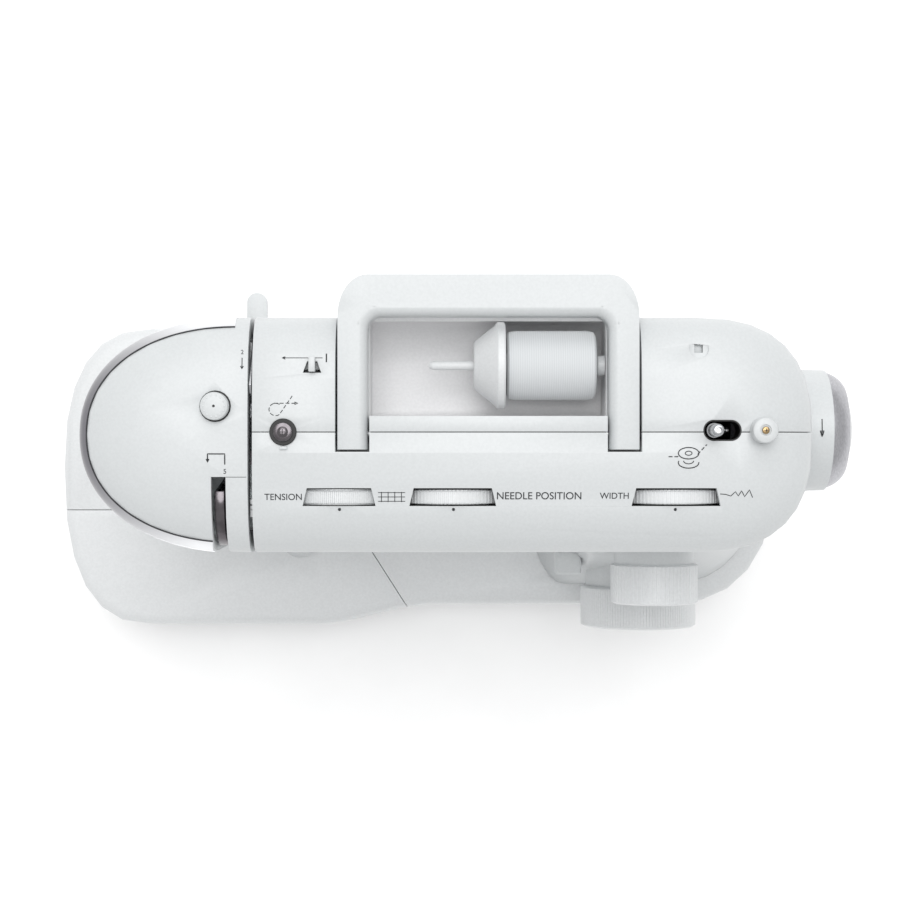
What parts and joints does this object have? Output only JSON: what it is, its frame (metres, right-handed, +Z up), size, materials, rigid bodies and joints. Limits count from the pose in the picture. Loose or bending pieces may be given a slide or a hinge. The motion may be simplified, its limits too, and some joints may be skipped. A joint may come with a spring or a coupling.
{
  "type": "sewing machine",
  "caption": "Free-arm domestic sewing machine with folding carry handle, horizontal spool pin, top thumbwheels, front dials and slide-off accessory tray.",
  "frame": {"origin": "middle of the machine's overall box, on the surface that its rubber feet stand on", "axes": "+Z up, +X towards the handwheel, +Y away from the person sewing"},
  "size_m": [0.4, 0.172, 0.3],
  "materials": {
    "white_abs": "satin white ABS",
    "chrome_trim": "satin plated",
    "black_plastic": "matt black",
    "steel": "ground",
    "cast_aluminium": "as cast",
    "brass": "turned",
    "rubber": "matt",
    "thread": "wound thread",
    "clear_plastic": "clear"
  },
  "bodies": {
    "body": {"front_casing": "white_abs", "rear_casing": "white_abs", "face_cover": "white_abs", "face_trim": "chrome_trim", "base_casing": "white_abs", "free_arm_casing": "white_abs", "bottom_plate": "white_abs", "rubber_foot_1": "rubber", "rubber_foot_2": "rubber", "rubber_foot_3": "rubber", "rubber_foot_4": "rubber", "needle_plate": "steel", "handle_rod": "steel", "spool_pin": "white_abs", "timing_belt": "rubber", "motor_belt": "rubber", "motor": "black_plastic", "main_casting": "cast_aluminium", "presser_spring": "steel", "bobbin_tension_disc": "steel", "winder_stopper": "white_abs", "stopper_screw": "brass", "thread_guide": "white_abs", "thread_slot_guide": "steel", "power_inlet": "black_plastic", "sewing_lamp": "clear_plastic"},
    "handwheel": {"handwheel": "white_abs", "handwheel_ring": "chrome_trim", "main_shaft": "steel"},
    "lower_shaft": {"lower_shaft": "steel"},
    "motor_pulley": {"motor_pulley": "steel"},
    "hook": {"rotary_hook": "steel", "bobbin_case": "black_plastic"},
    "bobbin": {"bobbin": "clear_plastic"},
    "needle_bar": {"needle_bar": "steel", "needle_clamp": "steel", "needle": "steel"},
    "presser_bar": {"presser_bar": "steel", "foot_ankle": "steel"},
    "presser_foot": {"presser_foot": "chrome_trim"},
    "presser_lever": {"presser_lever": "white_abs"},
    "take_up_lever": {"take_up_lever": "steel"},
    "feed_dog": {"feed_dog": "steel"},
    "bobbin_cover": {"bobbin_cover": "clear_plastic"},
    "pressure_dial": {"presser_pressure_dial": "white_abs"},
    "tension_dial": {"tension_dial": "white_abs"},
    "needle_position_dial": {"needle_position_dial": "white_abs"},
    "width_dial": {"width_dial": "white_abs"},
    "length_dial": {"length_dial": "white_abs"},
    "pattern_dial": {"pattern_dial": "white_abs"},
    "reverse_button": {"reverse_button": "white_abs"},
    "carry_handle": {"carry_handle": "white_abs"},
    "winder_spindle": {"winder_spindle": "steel"},
    "thread_spool": {"thread_spool": "thread"},
    "spool_cap": {"spool_cap": "white_abs"},
    "accessory_tray": {"accessory_tray": "white_abs"},
    "tray_lid": {"tray_lid": "white_abs"},
    "power_switch": {"power_switch": "black_plastic"}
  },
  "joints": [
    {"name": "handwheel_turn", "type": "hinge", "parent": "body", "child": "handwheel", "pos_m": [0, 0.0188, 0.215], "axis": [1, 0, 0], "continuous": true},
    {"name": "lower_shaft_turn", "type": "hinge", "parent": "body", "child": "lower_shaft", "pos_m": [0, 0.0188, 0.042], "axis": [1, 0, 0], "continuous": true},
    {"name": "motor_turn", "type": "hinge", "parent": "body", "child": "motor_pulley", "pos_m": [0, -0.002, 0.1], "axis": [1, 0, 0], "continuous": true},
    {"name": "hook_turn", "type": "hinge", "parent": "body", "child": "hook", "pos_m": [-0.0905, -0.0005, 0.06], "axis": [0, 0, 1], "continuous": true},
    {"name": "needle_bar_slide", "type": "slide", "parent": "body", "child": "needle_bar", "axis": [0, 0, 1], "range_m": [-0.025, 0]},
    {"name": "presser_lever_lift", "type": "hinge", "parent": "body", "child": "presser_lever", "pos_m": [-0.082, 0.049, 0.188], "axis": [1, 0, 0], "range_deg": [0, 60]},
    {"name": "presser_bar_slide", "type": "slide", "parent": "body", "child": "presser_bar", "axis": [0, 0, 1], "range_m": [0, 0.0069]},
    {"name": "presser_foot_tilt", "type": "hinge", "parent": "presser_bar", "child": "presser_foot", "pos_m": [-0.0905, 0.024, 0.0823], "axis": [1, 0, 0], "range_deg": [-4, 4]},
    {"name": "take_up_swing", "type": "hinge", "parent": "body", "child": "take_up_lever", "pos_m": [-0.0892, 0.001, 0.212], "axis": [1, 0, 0], "range_deg": [0, 45]},
    {"name": "feed_dog_slide", "type": "slide", "parent": "body", "child": "feed_dog", "axis": [0, 1, 0], "range_m": [-0.0018, 0.0018]},
    {"name": "bobbin_spin", "type": "hinge", "parent": "hook", "child": "bobbin", "pos_m": [-0.0905, -0.0005, 0.066], "axis": [0, 0, 1], "continuous": true},
    {"name": "bobbin_cover_lift", "type": "slide", "parent": "body", "child": "bobbin_cover", "axis": [0, 0, 1], "range_m": [0, 0.002]},
    {"name": "pressure_dial_turn", "type": "hinge", "parent": "body", "child": "pressure_dial", "pos_m": [-0.0905, 0.0285, 0.28], "axis": [0, 0, 1], "range_deg": [0, 270]},
    {"name": "tension_dial_turn", "type": "hinge", "parent": "body", "child": "tension_dial", "pos_m": [-0.0368, -0.011, 0.2609], "axis": [0, 1, 0], "range_deg": [-120, 120]},
    {"name": "needle_position_dial_turn", "type": "hinge", "parent": "body", "child": "needle_position_dial", "pos_m": [0.0127, -0.011, 0.2609], "axis": [0, 1, 0], "range_deg": [-120, 120]},
    {"name": "width_dial_turn", "type": "hinge", "parent": "body", "child": "width_dial", "pos_m": [0.1099, -0.011, 0.2609], "axis": [0, 1, 0], "range_deg": [-120, 120]},
    {"name": "length_dial_turn", "type": "hinge", "parent": "body", "child": "length_dial", "pos_m": [0.11, -0.05, 0.193], "axis": [0, 1, 0], "range_deg": [-150, 150]},
    {"name": "pattern_dial_turn", "type": "hinge", "parent": "body", "child": "pattern_dial", "pos_m": [0.11, -0.07, 0.115], "axis": [0, 1, 0], "continuous": true},
    {"name": "reverse_button_press", "type": "slide", "parent": "body", "child": "reverse_button", "axis": [0, 1, 0], "range_m": [0, 0.003], "stiffness_N_per_m": 200},
    {"name": "carry_handle_lift", "type": "hinge", "parent": "body", "child": "carry_handle", "pos_m": [0, 0.0165, 0.276], "axis": [1, 0, 0], "range_deg": [0, 90]},
    {"name": "winder_shift", "type": "slide", "parent": "body", "child": "winder_spindle", "axis": [1, 0, 0], "range_m": [0, 0.007]},
    {"name": "spool_spin", "type": "hinge", "parent": "body", "child": "thread_spool", "pos_m": [0, 0.0472, 0.262], "axis": [1, 0, 0], "continuous": true},
    {"name": "spool_cap_pull", "type": "slide", "parent": "body", "child": "spool_cap", "axis": [-1, 0, 0], "range_m": [0, 0.02]},
    {"name": "tray_slide", "type": "slide", "parent": "body", "child": "accessory_tray", "axis": [-1, 0, 0], "range_m": [0, 0.16]},
    {"name": "tray_lid_open", "type": "hinge", "parent": "accessory_tray", "child": "tray_lid", "pos_m": [0, -0.0845, 0.072], "axis": [1, 0, 0], "range_deg": [0, 100]},
    {"name": "power_switch_rock", "type": "hinge", "parent": "body", "child": "power_switch", "pos_m": [0.176, 0.042, 0.124], "axis": [0, 1, 0], "range_deg": [-4, 4]}
  ],
  "couplings": [
    {"joint": "lower_shaft_turn", "follows": "handwheel_turn", "ratio": 1},
    {"joint": "motor_turn", "follows": "handwheel_turn", "ratio": 3.6667},
    {"joint": "hook_turn", "follows": "handwheel_turn", "ratio": 2},
    {"joint": "presser_lever_lift", "follows": "presser_bar_slide", "rad_per_m": 151.5}
  ]
}
